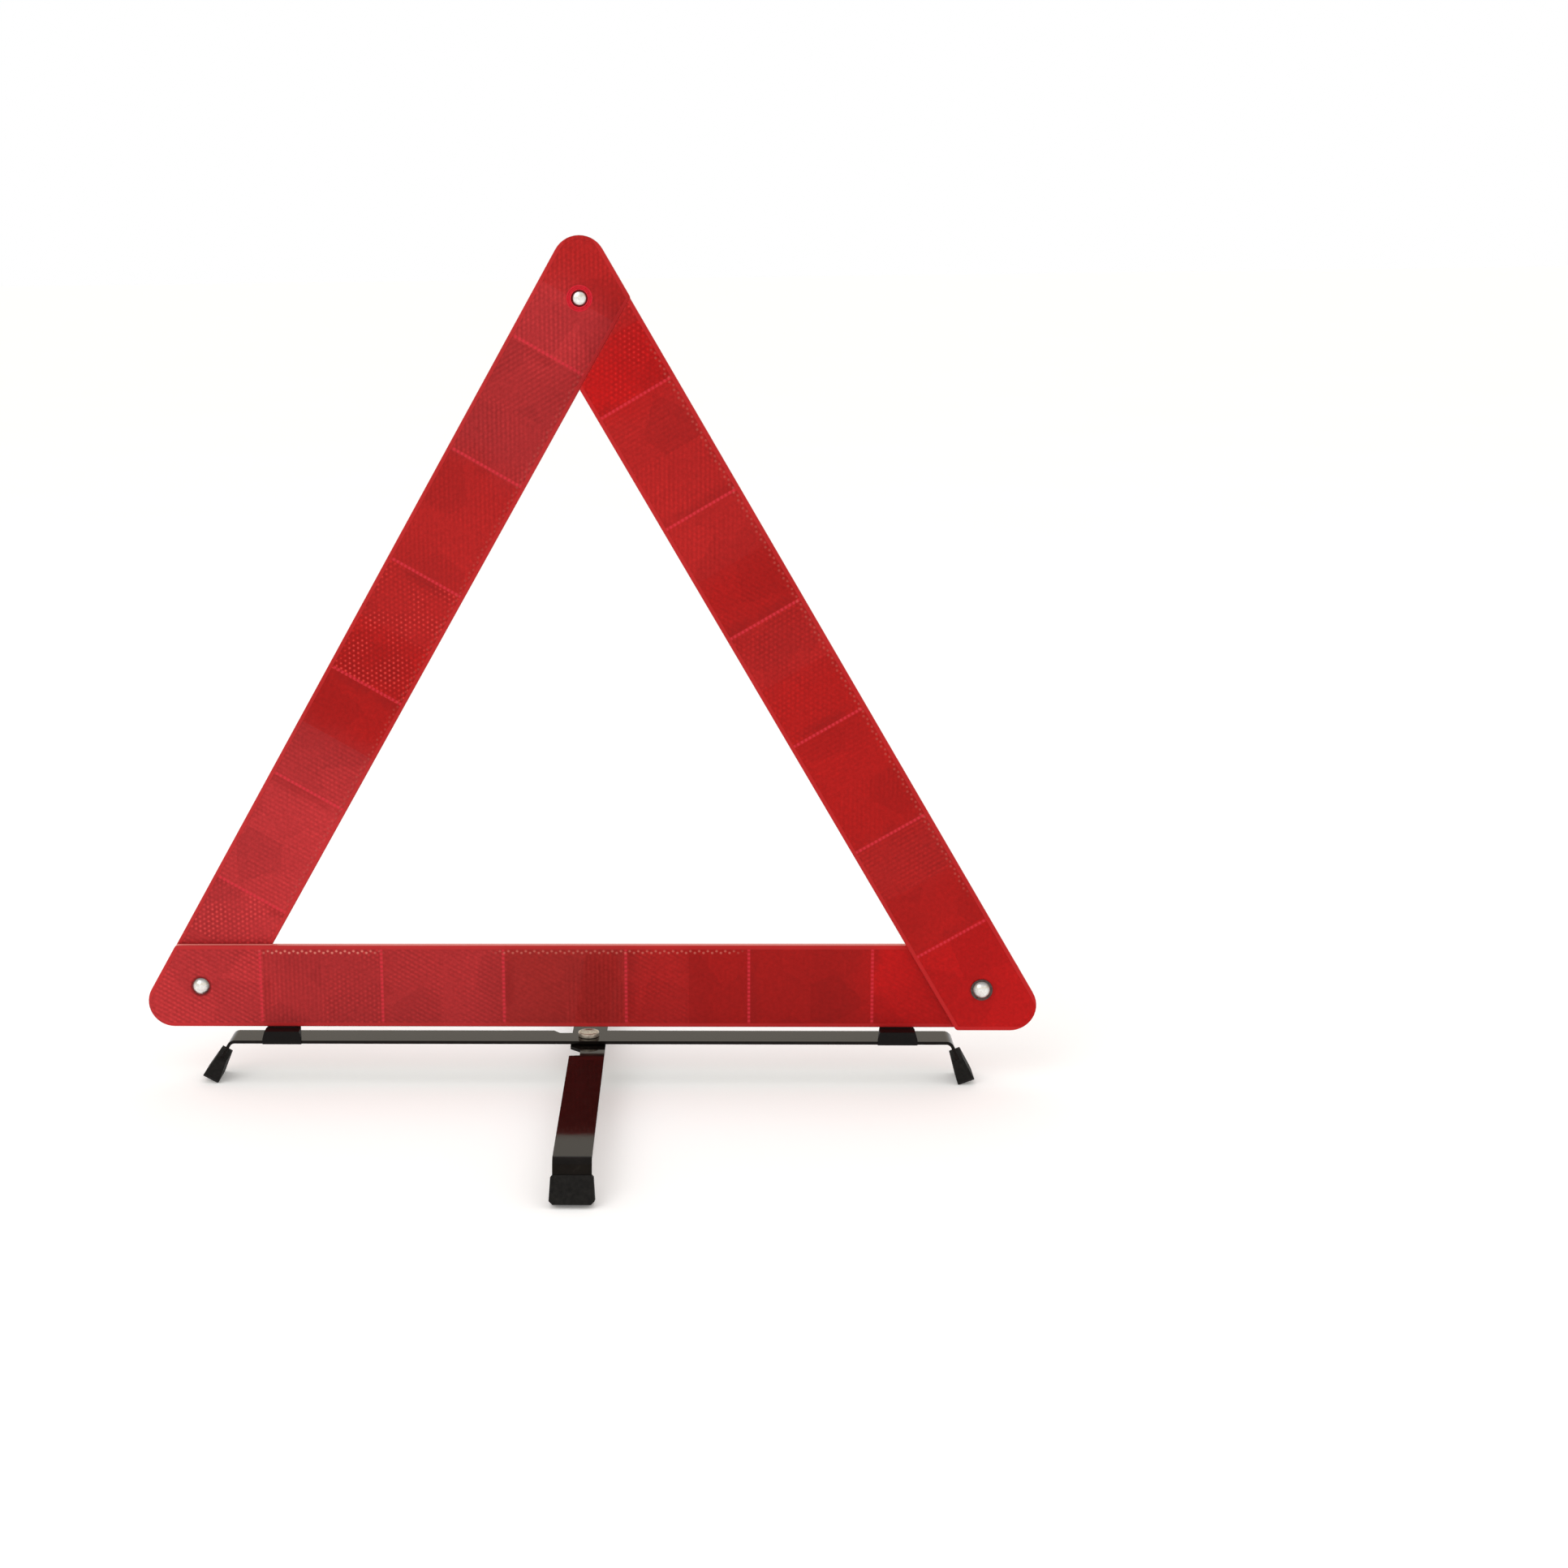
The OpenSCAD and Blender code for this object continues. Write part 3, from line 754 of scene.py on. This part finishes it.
def dome(radius, tip, seat, dimple):
    """Profile of a domed head from its tip to its seat, with a shallow dimple in its middle."""
    height = seat - tip
    ball = (radius**2 + height**2) / (2 * height)
    widest = math.asin(radius / ball)
    angles = [widest * k / DOME_STEPS for k in range(DOME_STEPS + 1)]
    points = [(ball * math.sin(a), tip + ball * (1 - math.cos(a))) for a in angles]
    hollow = [(0, tip + DIMPLE_DEPTH), (0.5 * dimple, tip + DIMPLE_HALF_DEPTH)]
    return hollow + [point for point in points if point[0] > dimple]


def turned(node, material, body, profile, upright=False):
    """A part turned about Y, or about Z when it is upright, from a profile of radius and place."""
    bm = bmesh.new()
    middle = centre(node)
    rings = []
    for radius, place in profile:
        count = 1 if radius == 0 else TURN_STEPS
        ring = []
        for k in range(count):
            angle = 2 * math.pi * k / TURN_STEPS
            x, other = radius * math.cos(angle), radius * math.sin(angle)
            spot = (x, other + middle.y, place) if upright else (x, place, other + middle.z)
            ring.append(bm.verts.new((spot[0] + middle.x, spot[1], spot[2])))
        rings.append(ring)
    for lower, upper in zip(rings, rings[1:]):
        for k in range(TURN_STEPS):
            corners = [
                lower[k % len(lower)], lower[(k + 1) % len(lower)],
                upper[(k + 1) % len(upper)], upper[k % len(upper)],
            ]
            bm.faces.new(list(dict.fromkeys(corners)))
    bmesh.ops.remove_doubles(bm, verts=bm.verts, dist=1e-7)
    return finished(f"{node}_piece", bm, material, body, node)


def rivet_metal(node, radius):
    middle = centre(node)
    return metal(f"{node}_metal", *BRIGHT_METAL, axis=(middle.x, middle.z, radius))


def make_rivets():
    """The pivot rivets, the snap stud with its moulded ring, and the centre rivet's dished head."""
    soft = 0.12 * MM
    low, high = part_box("left_pivot_rivet")
    radius = (high.x - low.x) / 2
    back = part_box("left_rear_washer")[1].y
    turned(
        "left_pivot_rivet", rivet_metal("left_pivot_rivet", radius), "stand",
        dome(radius, low.y, base_low.y - soft, DIMPLE_R)
        + [(radius - soft, base_low.y), (RIVET_R, base_low.y), (RIVET_R, back),
           (FORMED_R - soft, back), (FORMED_R, back + soft), (FORMED_R, high.y - 2 * soft),
           (FORMED_R - 2 * soft, high.y), (0, high.y)],
    )
    low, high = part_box("right_pivot_rivet")
    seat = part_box("right_front_washer")[0].y
    turned(
        "right_pivot_rivet", rivet_metal("right_pivot_rivet", radius), "stand",
        dome(radius, low.y, seat - soft, DIMPLE_R)
        + [(radius - soft, seat), (RIVET_R, seat), (RIVET_R, high.y - SUNK_HEAD_H),
           (SUNK_HEAD_R, high.y), (0, high.y)],
    )
    low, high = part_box("top_snap_stud")
    radius = (high.x - low.x) / 2
    ring_low, ring_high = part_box("top_snap_ring")
    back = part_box("top_snap_retainer")[1].y
    turned(
        "top_snap_stud", rivet_metal("top_snap_stud", radius), "left_arm",
        dome(radius, low.y, ring_high.y, DIMPLE_R / 4)
        + [(RIVET_R, ring_high.y), (RIVET_R, back), (NECK_R, back), (NECK_R, back + NECK_LEN),
           (NOSE_R - soft, back + NECK_LEN), (NOSE_R, back + NECK_LEN + soft),
           (NOSE_R, high.y - 4 * soft), (NOSE_R - 4 * soft, high.y), (0, high.y)],
    )
    inner, outer = radius, (ring_high.x - ring_low.x) / 2
    crown = (inner + outer) / 2
    groove = ring_low.y + RING_GROOVE
    turned(
        "top_snap_ring", ring_red, "left_arm",
        [(inner, ring_low.y + soft), (inner + soft, ring_low.y), (crown - 0.5 * MM, ring_low.y),
         (crown - 0.25 * MM, groove), (crown + 0.25 * MM, groove),
         (crown + 0.5 * MM, ring_low.y), (outer - soft, ring_low.y), (outer, ring_low.y + soft),
         (outer, ring_high.y), (inner, ring_high.y), (inner, ring_low.y + soft)],
    )
    low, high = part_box("centre_rivet")
    radius = (high.x - low.x) / 2
    seat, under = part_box("cross_strip")[1].z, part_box("end_washer")[0].z
    soft = 0.25 * MM
    turned(
        "centre_rivet", nickel, "stand",
        [(0, low.z), (CENTRE_FORMED_R - 2 * soft, low.z), (CENTRE_FORMED_R, low.z + 2 * soft),
         (CENTRE_FORMED_R, under), (CENTRE_SHANK_R, under), (CENTRE_SHANK_R, seat),
         (radius - soft, seat), (radius, seat + soft), (radius, high.z - 2 * soft),
         (radius - 0.6 * soft, high.z - 0.6 * soft), (radius - 2 * soft, high.z),
         (radius - CENTRE_RIM, high.z), (radius - CENTRE_RIM - 2 * soft, high.z - CENTRE_DISH),
         (0, high.z - CENTRE_DISH - soft)],
        upright=True,
    )


make_rivets()
SMALL_PARTS = [
    # node, material, slot, body, edge rounding in millimetres
    ("top_snap_retainer", zinc, "zinc", "left_arm", 0.1),
    ("left_spacer_washer", nylon, "nylon", "stand", 0.05),
    ("right_spacer_washer", nylon, "nylon", "stand", 0.05),
    ("left_rear_washer", zinc, "zinc", "stand", 0.1),
    ("right_front_washer", washer_dark, "dark_washer", "stand", 0.1),
    ("centre_spacer", nylon, "nylon", "stand", 0.05),
    ("spring_washer", zinc, "zinc", "stand", 0.08),
    ("end_washer", zinc, "zinc", "stand", 0.1),
    ("clip_rivets", zinc, "zinc", "stand", 0.08),
    ("left_clip", clip_black, "clip_plastic", "stand", 0.35),
    ("right_clip", clip_black, "clip_plastic", "stand", 0.35),
    ("cross_strip", paint, "black_paint", "stand", 0.22),
    ("swivel_strip", paint, "black_paint", "swivel_leg", 0.22),
    ("left_foot", rubber_black, "rubber", "stand", 0.5),
    ("right_foot", rubber_black, "rubber", "stand", 0.5),
    ("front_foot", rubber_black, "rubber", "swivel_leg", 0.5),
    ("rear_foot", rubber_black, "rubber", "swivel_leg", 0.5),
]
for node, material, slot, body, width in SMALL_PARTS:
    softened(node, material, body, width * MM)

# ---- Camera ----

AZIMUTH = math.radians(2.769)
ELEVATION = math.radians(12.079)
ROLL = math.radians(-0.7605)
DISTANCE = 1.2
AIM = Vector((0, left_pivot.y, 0.1482))


def make_camera():
    data = bpy.data.cameras.new("camera")
    data.lens = 57.5
    data.sensor_width = 36
    data.shift_x = 0.1265
    data.shift_y = -0.0015
    camera = bpy.data.objects.new("camera", data)
    bpy.context.scene.collection.objects.link(camera)
    away = Vector(
        (
            math.sin(AZIMUTH) * math.cos(ELEVATION),
            -math.cos(AZIMUTH) * math.cos(ELEVATION),
            math.sin(ELEVATION),
        )
    )
    turn = away.to_track_quat("Z", "Y").to_matrix().to_4x4()
    camera.matrix_world = (
        Matrix.Translation(AIM + DISTANCE * away) @ turn @ Matrix.Rotation(ROLL, 4, "Z")
    )
    bpy.context.scene.camera = camera


# ---- Stage and light ----


def make_floor():
    bm = bmesh.new()
    bmesh.ops.create_grid(bm, x_segments=8, y_segments=8, size=30)
    mesh = bpy.data.meshes.new("floor")
    bm.to_mesh(mesh)
    bm.free()
    floor = bpy.data.objects.new("floor", mesh)
    bpy.context.scene.collection.objects.link(floor)
    material, n, shader, place = new_material("pale_floor")
    n.put(
        shader.inputs["Base Color"],
        n.ramp(n.noise(place, 3.0), [(0.0, (0.9, 0.9, 0.9)), (1.0, (0.93, 0.93, 0.93))]),
    )
    set_numbers(
        shader,
        Roughness=0.9,
        Specular_IOR_Level=0.1,
        Emission_Color=(1.0, 1.0, 1.0, 1.0),
        Emission_Strength=0.14,
    )
    mesh.materials.append(material)


def make_world():
    """A pale studio: white along the horizon, greyer walls above it, and a bright soft ceiling."""
    world = bpy.data.worlds.new("studio")
    bpy.context.scene.world = world
    world.use_nodes = True
    n = Nodes(world.node_tree)
    _, _, up = n.split(n.add("ShaderNodeTexCoord").outputs["Generated"])
    colour = n.ramp(
        n.scaled(up, 0.5, 1.0),
        [
            (0.0, (1.0, 1.0, 1.0)),
            (0.55, (1.0, 1.0, 1.0)),
            (0.6, (1.0, 0.91, 0.78)),
            (0.72, (0.9, 0.84, 0.74)),
            (0.85, (1.0, 1.0, 1.0)),
            (1.0, (1.0, 1.0, 1.0)),
        ],
    )
    background = world.node_tree.nodes["Background"]
    n.put(background.inputs["Color"], colour)
    background.inputs["Strength"].default_value = 1.0


def make_light(name, place, aim, size, power):
    data = bpy.data.lights.new(name, "AREA")
    data.shape = "SQUARE"
    data.size = size
    data.energy = power
    light = bpy.data.objects.new(name, data)
    bpy.context.scene.collection.objects.link(light)
    light.location = place
    light.rotation_euler = (Vector(place) - Vector(aim)).to_track_quat("Z", "Y").to_euler()


make_camera()
make_floor()
make_world()
make_light("key", (-1.2, -1.8, 1.9), (0, 0, 0.2), 1.6, 14)
bpy.context.scene.view_settings.view_transform = "Standard"
